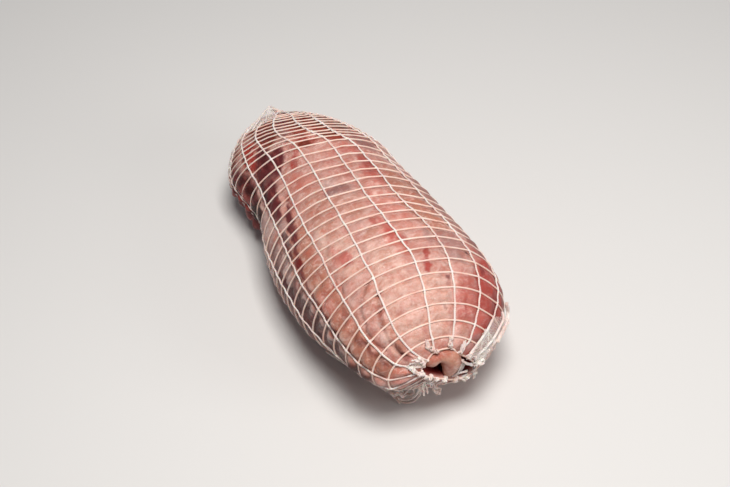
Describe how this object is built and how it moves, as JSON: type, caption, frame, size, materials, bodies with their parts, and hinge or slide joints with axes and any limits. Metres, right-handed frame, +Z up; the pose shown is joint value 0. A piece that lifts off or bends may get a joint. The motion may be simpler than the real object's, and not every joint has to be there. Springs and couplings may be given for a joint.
{
  "type": "rolled lamb roast",
  "caption": "Raw, boned and rolled lamb roast: a long rounded roll of meat with a flattened underside, held by an elastic net that is open round the rolled end and gathered at the other",
  "frame": {"origin": "on the surface that the roast lies on, under the middle of the whole, its net and tail included", "axes": "+X runs along the roll to the end where the rolled meat shows in the net's mouth, -X to the gathered end, +Z is up, +Y is to the left of someone looking along +X"},
  "size_m": [0.2513, 0.1228, 0.095],
  "materials": {
    "raw_lamb": "moist, raw",
    "elastic_netting": "matte, knitted"
  },
  "bodies": {
    "root": {"meat": "raw_lamb", "net": "elastic_netting"}
  },
  "joints": []
}
